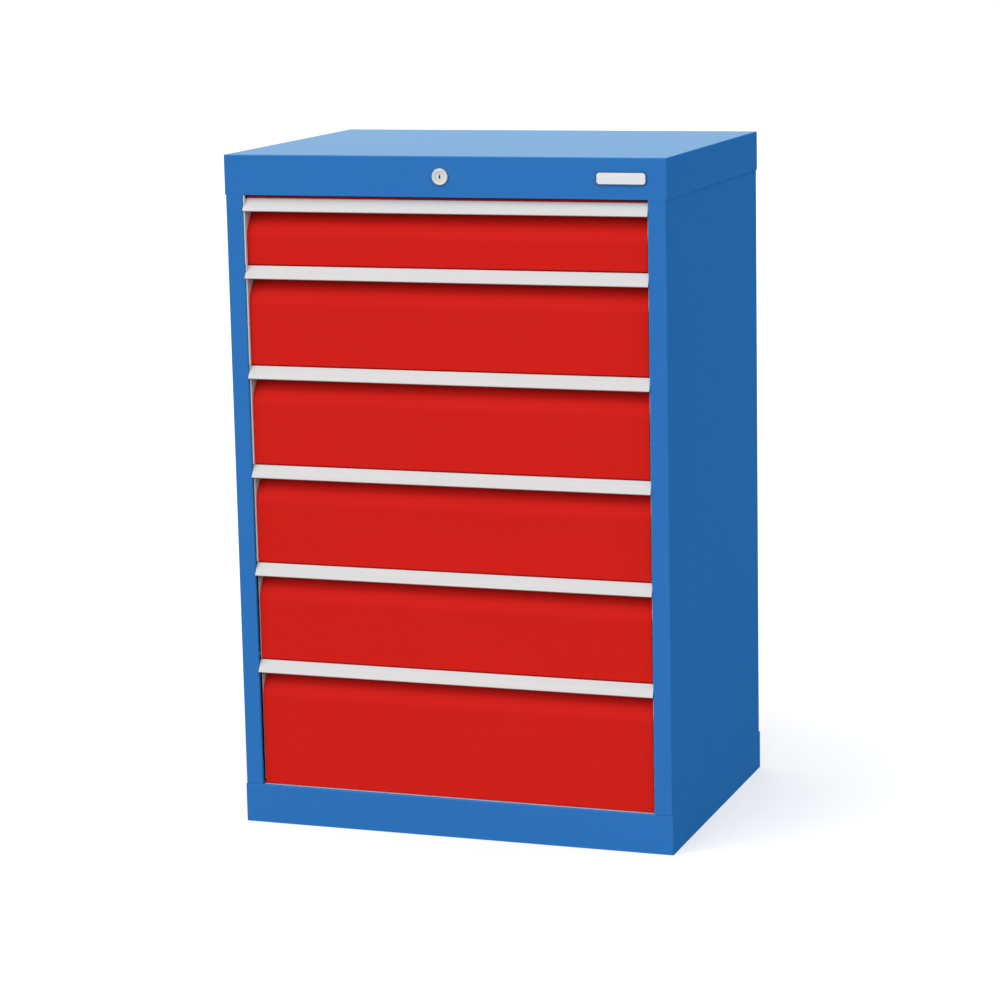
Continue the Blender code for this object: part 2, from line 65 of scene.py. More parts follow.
HANDLE_NOSE = 0.001
RAIL_LEVEL = 0.030  # from the foot of a drawer's room up to the middle of its rails
RAIL_FLANGE = 0.010
MIDDLE_FLANGE = 0.011
RAIL_PLAY = 0.0005
RUNNER_DEPTH = 0.015
RUNNER_LENGTH = 0.435
FRONT_DROP = 0.0048  # from the top of a drawer's room down to its front's top
TRAY_DROP = 0.018  # from the top of that room down to the tray's rim
TRAY_LIFT = 0.004  # from the foot of that room up to the tray
TONGUE_LIFT = 0.002  # from that foot up to the lock's tongue
TONGUE_SLOT_FRONT = -0.2415
TONGUE_SLOT_REAR = -0.2195
TONGUE_SLOT_LOW = 0.001
TONGUE_SLOT_HIGH = 0.004

# Detail that the solids leave out: folds and edges of the sheets
FOLD = 0.0008
CORNER = 0.0017
RIM_FOLD = 0.0003
BEAD_FOLD = 0.0006
RECESS_FOLD = 0.038
UPSTAND_GAP = 0.0004  # over the upstand behind a handle, under the next front
COVER_GAP = 0.0022  # the same over the first drawer, under the cover
# A pale grey strip on the plinth's top, just behind its front edge, stands in for the bright line along that
# edge: painted highlight.
HIGHLIGHT_STRIP = 0.0003
HIGHLIGHT_STRIP_SETBACK = 0.0040
HIGHLIGHT_STRIP_DEPTH = 0.0100
HEM = 0.0032
HEM_DROP = 0.006
LEFT_CHEEK_SETBACKS = (0.0010, 0.0022, 0.0034, 0.0048, 0.0068, 0.0085)
RIGHT_CHEEK_SETBACK = 0.0015
CHEEK_HEM = 0.0040
CHEEK_HEM_END = 0.0065
HANDLE_END_TOP = 0.3110
HANDLE_END_LOW = 0.3114
HANDLE_TOP_CORNER = 0.0026
HANDLE_LOW_CORNER = 0.0010
HANDLE_RADII = (0.0005, 0.0006, 0.0005, 0.0007, 0.0007, 0.0012, 0.0005)
HANDLE_STATIONS = (0, 0.0002, 0.0005, 0.0010, 0.0017, 0.0026)  # inward from each end
WEB_CORNER = 0.0005
SOFT_EDGE = 0.0003  # on the CAD nodes that stay
FOLD_ANGLE = math.radians(40)  # edges that turn by more are softened
SMOOTH_ANGLE = math.radians(32)  # edges that turn by less are shaded smooth

# Detail of the back
BEADS = 3
BEAD_FOOT = 0.010
BEAD_CREST = 0.006
BEAD_HEIGHT = 0.0011
BACK_SCREWS = 6
BACK_SCREW_MARGIN = 0.030
BACK_SCREW_RADIUS = 0.0042
BACK_SCREW_HEIGHT = 0.0012

# Slots and holes
WALL_MARGIN = 0.030
POST_SLOT_START = 0.020
POST_SLOT_PITCH = 0.025
POST_SLOT = 0.0055
POST_SLOT_CORNER = 0.0015
TRAY_SLOT_PITCH = 0.017
TRAY_SLOT_ROWS = 0.042
TRAY_SLOT_HALF_WIDTH = 0.0012
TRAY_SLOT_HALF_HEIGHT = 0.008
TRAY_SLOT_CORNER = 0.0011
RAIL_HOLES = 6
RAIL_HOLE_MARGIN = 0.035
RAIL_HOLE_HALF_LENGTHS = (0.004, 0.009)
RAIL_HOLE_HALF_HEIGHT = 0.0035
RAIL_HOLE_CORNER = 0.0033

# Where the cutters of the slots and holes end
POST_CUT = (-0.002, 0.004)  # from a post's inner face
RAIL_CUT = (-0.003, 0.002)  # from a rail's outer face
CHEEK_CUT = 0.004  # to both sides of the left cheek's outer face
TRAY_CUT = 0.002  # past a tray's sides and its rear wall
TRAY_CUT_START = 0.0015  # behind the bulkhead's front face, just into the tray's front wall
KEYHOLE_CUT = 0.003  # in front of the cylinder's face

# Lock and plate
ROSETTE_NECK = 0.0092
ROSETTE_RIM = ((0, 0.45), (0.0002, 0.68), (0.0006, 0.90), (0.0012, 1), (0.0020, 0.98),
               (0.0026, 0.88))  # inward from the edge, and the share of the height
ROSETTE_MOUTH = ((0.0004, 0.86), (0, 0.80))  # outward from the bore, and the same share
LOCK_PLAY = 0.00012
# Width of the dark ring round the rosette, and how far it reaches under it: painted shadow.
ROSETTE_SHADOW_RING = 0.0013
ROSETTE_SHADOW_LAP = 0.0010
CYLINDER_EDGE = 0.0003
CYLINDER_GROOVE = ((0.0052, 0), (0.0049, 0.0001), (0.0046, 0))  # radius and depth
KEYHOLE_HALF = ((0.0007, -0.0036), (0.0007, -0.0020), (0.0015, -0.0009), (0.0015, 0.0009),
                (0.0007, 0.0020), (0.0007, 0.0036))
KEYWAY_DEPTH = 0.0008
PLATE_CORNER = 0.0062
# Width of the dark band round the name plate: painted shadow.
PLATE_SHADOW_BAND = 0.0018

# Studio: how the floor looks, and how much light it throws back on the object
FLOOR_REACH = 30
FLOOR_COLOUR = (0.60, 0.60, 0.60, 1)
FLOOR_GLOW = 0.42
FLOOR_RETURN = (0.22, 0.22, 0.22, 1)

# Satin paint: the ranges of Facing in which its gloss comes up, and its haze
EDGE_ON = (0.78, 0.91)
FACE_ON = (0.50, 0.20)
GLOSS_ROUGHNESS = 0.15
HAZE_ROUGHNESS = 0.2
HAZE_TINT = (0.05, 1, 0.75, 1)

# View of the photograph
AZIMUTH = math.radians(19.48)
ELEVATION = math.radians(10.755)
ROLL = math.radians(-1.177)
FOCAL = 3.1817  # in widths of the sensor
CAMERA_PLACE = (1.6042, -4.5526, 1.3859)

FRONT_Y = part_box("left_side_panel")[0].y
FRONT_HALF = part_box("drawer_1_front")[1].x
CHEEK_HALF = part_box("drawer_1_box")[1].x
DRAWERS = range(1, 7)
SIDES = (("left", -1), ("right", 1))


# Camera and studio

def make_camera():
    """The camera of the photograph."""
    data = bpy.data.cameras.new("camera")
    data.sensor_width = 36
    data.lens = FOCAL * data.sensor_width
    data.clip_end = 200
    camera = bpy.data.objects.new("camera", data)
    bpy.context.scene.collection.objects.link(camera)
    back = Vector((math.sin(AZIMUTH) * math.cos(ELEVATION), -math.cos(AZIMUTH) * math.cos(ELEVATION),
                   math.sin(ELEVATION)))
    camera.location = CAMERA_PLACE
    camera.rotation_mode = "QUATERNION"
    camera.rotation_quaternion = back.to_track_quat("Z", "Y") @ Quaternion((0, 0, 1), ROLL)
    bpy.context.scene.camera = camera


def shown_white(tree):
    """One for the rays that show the background: those of the camera, of gloss and through glass."""
    path = tree.nodes.new("ShaderNodeLightPath")
    total = path.outputs["Is Camera Ray"]
    for kind in ("Is Glossy Ray", "Is Transmission Ray"):
        greater = tree.nodes.new("ShaderNodeMath")
        greater.operation = "MAXIMUM"
        tree.links.new(total, greater.inputs[0])
        tree.links.new(path.outputs[kind], greater.inputs[1])
        total = greater.outputs[0]
    return total


def mixed(tree, first, second):
    """The first shader for light that falls on the object, and the second for the rays that show it."""
    mix = tree.nodes.new("ShaderNodeMixShader")
    tree.links.new(shown_white(tree), mix.inputs["Fac"])
    tree.links.new(first.outputs[0], mix.inputs[1])
    tree.links.new(second.outputs[0], mix.inputs[2])
    return mix


def background(tree, strength):
    """Plain white light of one strength."""
    light = tree.nodes.new("ShaderNodeBackground")
    light.inputs["Color"].default_value = (1, 1, 1, 1)
    light.inputs["Strength"].default_value = strength
    return light


def make_world(ambient):
    """A white background, and an even light from all round."""
    world = bpy.data.worlds.new("studio")
    bpy.context.scene.world = world
    world.use_nodes = True
    tree = world.node_tree
    tree.nodes.clear()
    seen = mixed(tree, background(tree, ambient), background(tree, 1))
    out = tree.nodes.new("ShaderNodeOutputWorld")
    tree.links.new(seen.outputs[0], out.inputs["Surface"])


def make_floor():
    """A pale floor. It shows nearly white, and throws less light back on the object."""
    mesh = bpy.data.meshes.new("floor")
    corners = [(-FLOOR_REACH, -FLOOR_REACH, -GAP), (FLOOR_REACH, -FLOOR_REACH, -GAP),
               (FLOOR_REACH, FLOOR_REACH, -GAP), (-FLOOR_REACH, FLOOR_REACH, -GAP)]
    mesh.from_pydata(corners, [], [(0, 1, 2, 3)])
    floor = bpy.data.objects.new("floor", mesh)
    bpy.context.scene.collection.objects.link(floor)
    material = bpy.data.materials.new("floor_white")
    material.use_nodes = True
    tree = material.node_tree
    tree.nodes.clear()
    shaded = tree.nodes.new("ShaderNodeBsdfDiffuse")
    shaded.inputs["Color"].default_value = FLOOR_COLOUR
    glow = tree.nodes.new("ShaderNodeEmission")
    glow.inputs["Color"].default_value = (1, 1, 1, 1)
    glow.inputs["Strength"].default_value = FLOOR_GLOW
    shown = tree.nodes.new("ShaderNodeAddShader")
    tree.links.new(shaded.outputs[0], shown.inputs[0])
    tree.links.new(glow.outputs[0], shown.inputs[1])
    returned = tree.nodes.new("ShaderNodeBsdfDiffuse")
    returned.inputs["Color"].default_value = FLOOR_RETURN
    out = tree.nodes.new("ShaderNodeOutputMaterial")
    tree.links.new(mixed(tree, returned, shown).outputs[0], out.inputs["Surface"])
    mesh.materials.append(material)


def make_sun(name, azimuth, elevation, strength, spread):
    """A broad, even lamp. Azimuth zero is in front, and positive is to the right."""
    data = bpy.data.lights.new(name, "SUN")
    data.energy = strength
    data.angle = math.radians(spread)
    lamp = bpy.data.objects.new(name, data)
    bpy.context.scene.collection.objects.link(lamp)
    azimuth, elevation = math.radians(azimuth), math.radians(elevation)
    towards = Vector((math.sin(azimuth) * math.cos(elevation), -math.cos(azimuth) * math.cos(elevation),
                      math.sin(elevation)))
    lamp.rotation_mode = "QUATERNION"
    lamp.rotation_quaternion = towards.to_track_quat("Z", "Y")


make_camera()
make_world(ambient=0.94)
make_floor()
make_sun("key", azimuth=-38, elevation=38, strength=1.82, spread=75)
make_sun("fill", azimuth=80, elevation=18, strength=0.40, spread=40)


# Materials

def base_material(name, roughness, metallic, ior):
    """A material with its constant values set on the shader."""
    material = bpy.data.materials.new(name)
    material.use_nodes = True
    tree = material.node_tree
    surface = tree.nodes["Principled BSDF"]
    surface.inputs["Roughness"].default_value = roughness
    surface.inputs["Metallic"].default_value = metallic
    surface.inputs["IOR"].default_value = ior
    return material, tree, surface


def noise(tree, scale, detail, stretch=(1, 1, 1)):
    """Noise that is fixed to the piece. Scale is in cycles per metre."""
    place = tree.nodes.new("ShaderNodeTexCoord")
    mapping = tree.nodes.new("ShaderNodeMapping")
    mapping.inputs["Scale"].default_value = stretch
    texture = tree.nodes.new("ShaderNodeTexNoise")
    texture.inputs["Scale"].default_value = scale
    texture.inputs["Detail"].default_value = detail
    tree.links.new(place.outputs["Object"], mapping.inputs["Vector"])
    tree.links.new(mapping.outputs["Vector"], texture.inputs["Vector"])
    return texture.outputs["Fac"]


def colour_between(tree, surface, factor, first, second):
    """The base colour runs between two colours."""
    ramp = tree.nodes.new("ShaderNodeValToRGB")
    ramp.color_ramp.elements[0].position = 0.3
    ramp.color_ramp.elements[0].color = (*first, 1)
    ramp.color_ramp.elements[1].position = 0.7
    ramp.color_ramp.elements[1].color = (*second, 1)
    tree.links.new(factor, ramp.inputs["Fac"])
    tree.links.new(ramp.outputs["Color"], surface.inputs["Base Color"])


def roughness_between(tree, surface, factor, low, high):
    """The roughness runs between two values."""
    spread = tree.nodes.new("ShaderNodeMapRange")
    spread.inputs["From Min"].default_value = 0.3
    spread.inputs["From Max"].default_value = 0.7
    spread.inputs["To Min"].default_value = low
    spread.inputs["To Max"].default_value = high
    tree.links.new(factor, spread.inputs["Value"])
    tree.links.new(spread.outputs["Result"], surface.inputs["Roughness"])


def relief(tree, surface, layers):
    """Fine relief from several heights, each with its distance in metres."""
    before = None
    for height, distance in layers:
        bump = tree.nodes.new("ShaderNodeBump")
        bump.inputs["Strength"].default_value = 1
        bump.inputs["Distance"].default_value = distance
        tree.links.new(height, bump.inputs["Height"])
        if before:
            tree.links.new(before, bump.inputs["Normal"])
        before = bump.outputs["Normal"]
    tree.links.new(before, surface.inputs["Normal"])


def shade(colour, factor):
    """The colour made lighter or darker."""
    return tuple(min(1, value * factor) for value in colour)


def satin_gloss(tree, surface, edge_on, face_on):
    """The gloss of satin paint: strong where seen nearly edge on, faint where seen face on."""
    facing = tree.nodes.new("ShaderNodeLayerWeight")
    facing.inputs["Blend"].default_value = 0.5
    parts = []
    for (start, end), weight in ((EDGE_ON, edge_on), (FACE_ON, face_on)):
        part = tree.nodes.new("ShaderNodeMapRange")
        part.interpolation_type = "SMOOTHSTEP"
        part.inputs["From Min"].default_value = start
        part.inputs["From Max"].default_value = end
        part.inputs["To Max"].default_value = weight
        tree.links.new(facing.outputs["Facing"], part.inputs["Value"])
        parts.append(part.outputs["Result"])
    both = tree.nodes.new("ShaderNodeMath")
    both.operation = "MAXIMUM"
    for result, socket in zip(parts, both.inputs):
        tree.links.new(result, socket)
    tree.links.new(both.outputs[0], surface.inputs["Coat Weight"])
    surface.inputs["Coat Roughness"].default_value = GLOSS_ROUGHNESS


def powder_coat(name, colour, roughness, ior, gloss=(), haze=0.0):
    """Powder coat: a fine orange peel, and a slightly uneven colour and roughness.

    The gloss, where there is one, is its weights seen edge on and face on.
    """
    material, tree, surface = base_material(name, roughness, 0, ior)
    if gloss:
        satin_gloss(tree, surface, *gloss)
        surface.inputs["Sheen Weight"].default_value = haze
        surface.inputs["Sheen Roughness"].default_value = HAZE_ROUGHNESS
        surface.inputs["Sheen Tint"].default_value = HAZE_TINT
    colour_between(tree, surface, noise(tree, 5, 4), shade(colour, 0.988), shade(colour, 1.012))
    roughness_between(tree, surface, noise(tree, 22, 5), roughness - 0.02, roughness + 0.02)
    relief(tree, surface, ((noise(tree, 170, 2), 0.00003), (noise(tree, 620, 3), 0.000012)))
    return material


def brushed(name, colour, roughness, stretch, metallic):
    """Metal with fine lines in one direction, and a soft cloudiness."""
    material, tree, surface = base_material(name, roughness, metallic, 1.45)
    colour_between(tree, surface, noise(tree, 60, 5, stretch), shade(colour, 0.965), shade(colour, 1.03))
    roughness_between(tree, surface, noise(tree, 40, 4, stretch), roughness - 0.05, roughness + 0.06)
    relief(tree, surface, ((noise(tree, 90, 6, stretch), 0.000012), (noise(tree, 9, 2), 0.00004)))
    return material


def zinc_plate(name, colour, roughness):
    """Zinc plated sheet: faint crystals, clouds and rolling lines."""
    material, tree, surface = base_material(name, roughness, 1.0, 1.45)
    colour_between(tree, surface, noise(tree, 38, 6), shade(colour, 0.90), shade(colour, 1.08))
    place = tree.nodes.new("ShaderNodeTexCoord")
    crystals = tree.nodes.new("ShaderNodeTexVoronoi")
    crystals.inputs["Scale"].default_value = 240
    tree.links.new(place.outputs["Object"], crystals.inputs["Vector"])
    roughness_between(tree, surface, crystals.outputs["Distance"], roughness - 0.05, roughness + 0.12)
    rolled = noise(tree, 300, 4, (1, 0.1, 1))
    relief(tree, surface, ((crystals.outputs["Distance"], 0.00001), (rolled, 0.00001)))
    return material


def moulded(name, colour, roughness):
    """Moulded plastic with a fine grain."""
    material, tree, surface = base_material(name, roughness, 0, 1.45)
    colour_between(tree, surface, noise(tree, 30, 3), shade(colour, 0.97), shade(colour, 1.03))
    roughness_between(tree, surface, noise(tree, 90, 3), roughness - 0.04, roughness + 0.04)
    relief(tree, surface, ((noise(tree, 900, 2), 0.00001),))
    return material


BLUE = powder_coat("powder_blue", (0.0200, 0.161, 0.479), roughness=0.22, ior=1.010,
                   gloss=(0.34, 0.23), haze=0.17)
RED = powder_coat("powder_red", (0.618, 0.0150, 0.0110), roughness=0.30, ior=1.05)
GREY = powder_coat("powder_grey", (0.560, 0.565, 0.560), roughness=0.45, ior=1.25)
ALUMINIUM = brushed("anodised_aluminium", (0.550, 0.550, 0.550), roughness=0.62,
                    stretch=(0.06, 10, 10), metallic=0.10)
ZINC = zinc_plate("zinc_plate", (0.600, 0.610, 0.630), roughness=0.34)
NICKEL = brushed("satin_nickel", (0.520, 0.525, 0.530), roughness=0.42,
                 stretch=(8, 1, 8), metallic=0.6)
PALE = brushed("plate_pale", (0.700, 0.715, 0.730), roughness=0.40,
               stretch=(0.1, 6, 6), metallic=0.15)
# Dark blue for the thin ring round the lock's rosette and the band round the name plate: painted shadow,
# standing in for their contact shadows.
SHADOW_BLUE = powder_coat("painted_shadow_blue", (0.020, 0.075, 0.220), roughness=0.40, ior=1.40)
# Near black for the insert just behind the keyhole's mouth: painted shade, standing in for the dark of a
# deep keyway.
KEYWAY_SHADE_BLACK = moulded("keyway_painted_shade", (0.020, 0.020, 0.022), roughness=0.60)


# Shapes

def at_axis(axis, a, b, along):
    """A point from its two coordinates across an axis and its place along it."""
    return {"X": (along, a, b), "Y": (a, along, b), "Z": (a, b, along)}[axis]


def arc_points(corner, before, after, radius, steps):
    """A rounded corner, as (point, normal to the right of the way) pairs."""
    way_in = (Vector(corner) - Vector(before)).normalized()
    way_out = (Vector(after) - Vector(corner)).normalized()
    side = 1 if way_in.x * way_out.y - way_in.y * way_out.x > 0 else -1
    angle = math.acos(max(-1, min(1, way_in.dot(way_out))))
    right = Vector((way_in.y, -way_in.x))
    centre = Vector(corner) - way_in * radius * math.tan(angle / 2) - right * radius * side
    points = []
    for step in range(steps + 1):
        turn = side * angle * step / steps
        normal = Vector((right.x * math.cos(turn) - right.y * math.sin(turn),
                         right.x * math.sin(turn) + right.y * math.cos(turn)))
        points.append((centre + normal * radius * side, normal))
    return points


def rounded(outline, radius, steps):
    """A closed outline with rounded corners. The radius is one number, or one for each corner."""
    count = len(outline)
    radii = radius if isinstance(radius, (list, tuple)) else [radius] * count
    points = []
    for i, corner in enumerate(outline):
        if radii[i] <= 0:
            points.append(tuple(corner))
            continue
        arc = arc_points(corner, outline[i - 1], outline[(i + 1) % count], radii[i], steps)
        points += [tuple(point) for point, normal in arc]
    return points


def box_outline(a_low, a_high, b_low, b_high, radius=0.0, steps=4):
    """A rectangle, with rounded corners where a radius is given."""
    corners = [(a_low, b_low), (a_high, b_low), (a_high, b_high), (a_low, b_high)]
    return rounded(corners, radius, steps) if radius else corners


def skin(work, rings):
    """Faces between each closed row of vertices and the next."""
    for one, two in zip(rings, rings[1:]):
        for i in range(len(one)):
            j = (i + 1) % len(one)
            work.faces.new((one[i], one[j], two[j], two[i]))


def prism(work, outline, axis, start, end):
    """Draw a closed outline out along an axis."""
    rows = [[work.verts.new(at_axis(axis, a, b, place)) for a, b in outline] for place in (start, end)]
    skin(work, rows)
    work.faces.new(rows[0][::-1])
    work.faces.new(rows[1])


def added(work, part):
    """Take the mesh of a part over into the work."""
    mesh = bpy.data.meshes.new("part")
    part.to_mesh(mesh)
    part.free()
    work.from_mesh(mesh)
    bpy.data.meshes.remove(mesh)


def folded(work, path, axis, start, end, sheet=SHEET, radius=FOLD, steps=4):
    """A folded sheet with round bends. The path is one of its faces, and the metal is on its right.

    The radius is one number, or one for each point of the path.
    """
    radii = radius if isinstance(radius, (list, tuple)) else [radius] * len(path)
    rows = []
    last = len(path) - 1
    for i, corner in enumerate(path):
        if i in (0, last):
            way = (Vector(path[min(i + 1, last)]) - Vector(path[max(i - 1, 0)])).normalized()
            rows.append((Vector(corner), Vector((way.y, -way.x))))
            continue
        before, after = Vector(path[i - 1]), Vector(path[i + 1])
        way_in, way_out = Vector(corner) - before, after - Vector(corner)
        left_turn = way_in.x * way_out.y - way_in.y * way_out.x > 0
        rows += arc_points(corner, before, after, radii[i] + (0 if left_turn else sheet), steps)
    lines = []
    for place in (start, end):
        for depth in (0, sheet):
            lines.append([work.verts.new(at_axis(axis, *(point + normal * depth), place))
                          for point, normal in rows])
    outer_a, inner_a, outer_b, inner_b = lines
    for one, two in ((outer_a, outer_b), (inner_b, inner_a), (inner_a, outer_a), (outer_b, inner_b)):
        for i in range(len(rows) - 1):
            work.faces.new((one[i], one[i + 1], two[i + 1], two[i]))
    for i in (0, -1):
        work.faces.new((outer_a[i], inner_a[i], inner_b[i], outer_b[i]))


def mirrored(path):
    """The same path on the left side, with the metal still on its right."""
    return [(-a, b) for a, b in reversed(path)]


def on_side(side, path):
    """The path for the right side, or its mirror image."""
    return path if side > 0 else mirrored(path)


def softened(part, radius, segments, level=None):
    """Round the folds of a sheet, or only those at one height."""
    folds = [edge for edge in part.edges
             if not edge.is_boundary and edge.calc_face_angle(0) > FOLD_ANGLE
             and (level is None or all(abs(vertex.co.z - level) < RIM_FOLD / 2 for vertex in edge.verts))]
    bmesh.ops.bevel(part, geom=folds, offset=radius, segments=segments, profile=0.5, affect="EDGES",
                    clamp_overlap=True)


def tray(work, low, high, flange, open_side, lip=0.0):
    """A box of folded sheet, open above or below, with a flange, and a lip on it where asked."""
    part = bmesh.new()
    low, high = Vector(low), Vector(high)
    vertices = bmesh.ops.create_cube(part, size=1)["verts"]
    bmesh.ops.scale(part, verts=vertices, vec=high - low)
    bmesh.ops.translate(part, verts=vertices, vec=(low + high) / 2)
    opened = [face for face in part.faces if face.normal.z * open_side > 0.5]
    bmesh.ops.delete(part, geom=opened, context="FACES_ONLY")
    softened(part, CORNER, 4)
    middle = (low + high) / 2
    for inward, down in ((flange, 0), (0, lip)):
        if not inward and not down:
            continue
        rim = [edge for edge in part.edges if edge.is_boundary]
        grown = bmesh.ops.extrude_edge_only(part, edges=rim)["geom"]
        for vertex in [item for item in grown if isinstance(item, bmesh.types.BMVert)]:
            vertex.co.x -= math.copysign(inward, vertex.co.x - middle.x)
            vertex.co.y -= math.copysign(inward, vertex.co.y - middle.y)
            vertex.co.z -= open_side * down
    bmesh.ops.recalc_face_normals(part, faces=part.faces)
    softened(part, RIM_FOLD, 2, (high if open_side > 0 else low).z)
    bmesh.ops.recalc_face_normals(part, faces=part.faces)
    bmesh.ops.solidify(part, geom=part.faces[:], thickness=SHEET)
    added(work, part)


def ring(work, radius, depth, centre, steps):
    """A ring of vertices about an axis to the front. The radius may be a function of the angle."""
    vertices = []
    for step in range(steps):
        angle = 2 * math.pi * step / steps
        reach = radius(angle) if callable(radius) else radius
        vertices.append(work.verts.new((centre[0] + reach * math.sin(angle), centre[1] - depth,
                                        centre[2] + reach * math.cos(angle))))
    return vertices


def turned(work, profile, centre, steps, closed=False):
    """A turned form about an axis to the front, from (radius, height) pairs."""
    rings = [ring(work, radius, height, centre, steps) for radius, height in profile]
    skin(work, rings + rings[:1] if closed else rings)
    if not closed:
        work.faces.new(rings[0])
        work.faces.new(rings[-1][::-1])


def hexagon(across):
    """The radius of a hexagon at an angle."""
    return lambda angle: across / 2 / math.cos((angle % (math.pi / 3)) - math.pi / 6)


def screw_head(work, centre, facing, radius, height):
    """A flat round head with a hexagon socket, on a plane that looks along an axis, such as -Y or X."""
    part = bmesh.new()
    socket = hexagon(radius * 0.95)
    turned(part, ((radius, 0), (radius, height * 0.35), (radius * 0.92, height * 0.75),
                  (radius * 0.70, height), (socket, height), (socket, height * 0.25)), (0, 0, 0), 24)
    way = Vector((0, -1, 0)).rotation_difference(Vector(facing))
    for vertex in part.verts:
        vertex.co = way @ vertex.co + Vector(centre)
    added(work, part)


def punched(mesh, cutters):
    """The mesh with prisms cut out of it."""
    work = bmesh.new()
    for outline, axis, start, end in cutters:
        prism(work, outline, axis, start, end)
    bmesh.ops.recalc_face_normals(work, faces=work.faces)
    tool_mesh = bpy.data.meshes.new("tool")
    work.to_mesh(tool_mesh)
    work.free()
    tool = bpy.data.objects.new("tool", tool_mesh)
    target = bpy.data.objects.new("target", mesh)
    for thing in (tool, target):
        bpy.context.scene.collection.objects.link(thing)
    cut = target.modifiers.new("cut", "BOOLEAN")
    cut.operation = "DIFFERENCE"
    cut.object = tool
    bpy.context.view_layer.update()
    result = bpy.data.meshes.new_from_object(target.evaluated_get(bpy.context.evaluated_depsgraph_get()))
    for thing, data in ((tool, tool_mesh), (target, mesh)):
        bpy.data.objects.remove(thing, do_unlink=True)
        bpy.data.meshes.remove(data)
    return result


def piece(name, work, material, body, nodes=(), cutters=()):
    """Finish a mesh as a piece that rides on a body and stands for CAD nodes."""
    bmesh.ops.recalc_face_normals(work, faces=work.faces)
    mesh = bpy.data.meshes.new(name)
    work.to_mesh(mesh)
    work.free()
    if cutters:
        mesh = punched(mesh, cutters)
        mesh.name = name
    mesh.materials.clear()
    mesh.materials.append(material)
    mesh.shade_smooth()
    mesh.set_sharp_from_angle(angle=SMOOTH_ANGLE)
    thing = bpy.data.objects.new(name, mesh)
    bpy.context.scene.collection.objects.link(thing)
    flat = thing.modifiers.new("flat_faces", "WEIGHTED_NORMAL")
    flat.keep_sharp = True
    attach(thing, body)
    if nodes:
        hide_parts(*nodes)
    return thing


def carried(node, material):
    """A CAD node that stays, with a better material and softened edges."""
    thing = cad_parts[node]
    thing.data.materials.clear()
    thing.data.materials.append(material)
    bevel = thing.modifiers.new("edges", "BEVEL")
    bevel.width = SOFT_EDGE
    bevel.segments = 2
    bevel.limit_method = "ANGLE"
    bevel.angle_limit = FOLD_ANGLE


# Housing

def make_cover_and_plinth():
    """The top cover and the plinth, with round bends and welded corners, and a pale strip on the plinth's
    top, which is a painted highlight.
    """
    for node, flange in (("top_cover", COVER_FLANGE), ("plinth", PLINTH_FLANGE)):
        low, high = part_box(node)
        work = bmesh.new()
        tray(work, low, high, flange, -1)
        piece(node + "_sheet", work, BLUE, "cabinet", [node])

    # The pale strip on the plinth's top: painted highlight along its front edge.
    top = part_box("plinth")[1].z
    outline = box_outline(FRONT_Y + HIGHLIGHT_STRIP_SETBACK, FRONT_Y + HIGHLIGHT_STRIP_SETBACK + HIGHLIGHT_STRIP_DEPTH, top, top + HIGHLIGHT_STRIP)
    work = bmesh.new()
    prism(work, outline, "X", GAP - OPENING_HALF, OPENING_HALF - GAP)
    piece("plinth_painted_highlight_strip", work, GREY, "cabinet")


def make_side_panels():
    """The side panels with their front uprights and rear flanges."""
    for name, side in SIDES:
        node = f"{name}_side_panel"
        low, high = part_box(node)
        half = high.x if side > 0 else -low.x
        path = [(half - REAR_FLANGE, high.y), (half, high.y), (half, low.y), (OPENING_HALF, low.y),
                (OPENING_HALF, low.y + UPRIGHT_LIP)]
        work = bmesh.new()
        folded(work, on_side(side, path), "Z", low.z, high.z + GAP)
        piece(f"{name}_side_sheet", work, BLUE, "cabinet", [node])


def make_back():
    """The back panel with its stiffening beads, and the screws in the rear flanges."""
    low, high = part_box("back_panel")
    path = [(high.y, low.z)]
    for i in range(BEADS):
        middle = low.z + (high.z - low.z) * (i + 1) / (BEADS + 1)
        path += [(high.y, middle - BEAD_FOOT), (high.y + BEAD_HEIGHT, middle - BEAD_CREST),
                 (high.y + BEAD_HEIGHT, middle + BEAD_CREST), (high.y, middle + BEAD_FOOT)]
    path.append((high.y, high.z))
    work = bmesh.new()
    folded(work, path[::-1], "X", low.x, high.x, radius=BEAD_FOLD)
    piece("back_sheet", work, BLUE, "cabinet", ["back_panel"])

    work = bmesh.new()
    flange_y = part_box("left_side_panel")[1].y
    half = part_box("right_side_panel")[1].x - REAR_FLANGE / 2
    run = high.z - low.z - 2 * BACK_SCREW_MARGIN
    for x in (-half, half):
        for i in range(BACK_SCREWS):
            z = low.z + BACK_SCREW_MARGIN + run * i / (BACK_SCREWS - 1)
            screw_head(work, (x, flange_y, z), (0, 1, 0), BACK_SCREW_RADIUS, BACK_SCREW_HEIGHT)
    piece("back_screws", work, ZINC, "cabinet")


def make_posts():
    """The four posts inside the corners, punched with rows of slots for the slides."""
    for end in ("front", "rear"):
        for name, side in SIDES:
            node = f"{end}_{name}_post"
            low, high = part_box(node)
            outer, inner = (high.x, low.x) if side > 0 else (-low.x, -high.x)
            path = [(outer, low.y), (inner, low.y), (inner, high.y), (outer, high.y)]
            work = bmesh.new()
            folded(work, on_side(side, path), "Z", low.z, high.z, RAIL_SHEET)
            middle = (low.y + high.y) / 2
            start, finish = sorted(side * (inner + reach) for reach in POST_CUT)
            cutters = []
            for i in range(int((high.z - low.z - WALL_MARGIN) / POST_SLOT_PITCH)):
                z = low.z + POST_SLOT_START + i * POST_SLOT_PITCH
                slot = box_outline(middle - POST_SLOT, middle + POST_SLOT, z, z + POST_SLOT,
                                   POST_SLOT_CORNER, 2)
                cutters.append((slot, "X", start, finish))
            piece(f"{node}_slotted", work, ZINC, "cabinet", [node], cutters)


# Drawers

def lower_edge_above(number):
    """The height of the lower edge of the cover, or of the drawer front, above a drawer."""
    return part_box("top_cover" if number == 1 else f"drawer_{number - 1}_front")[0].z


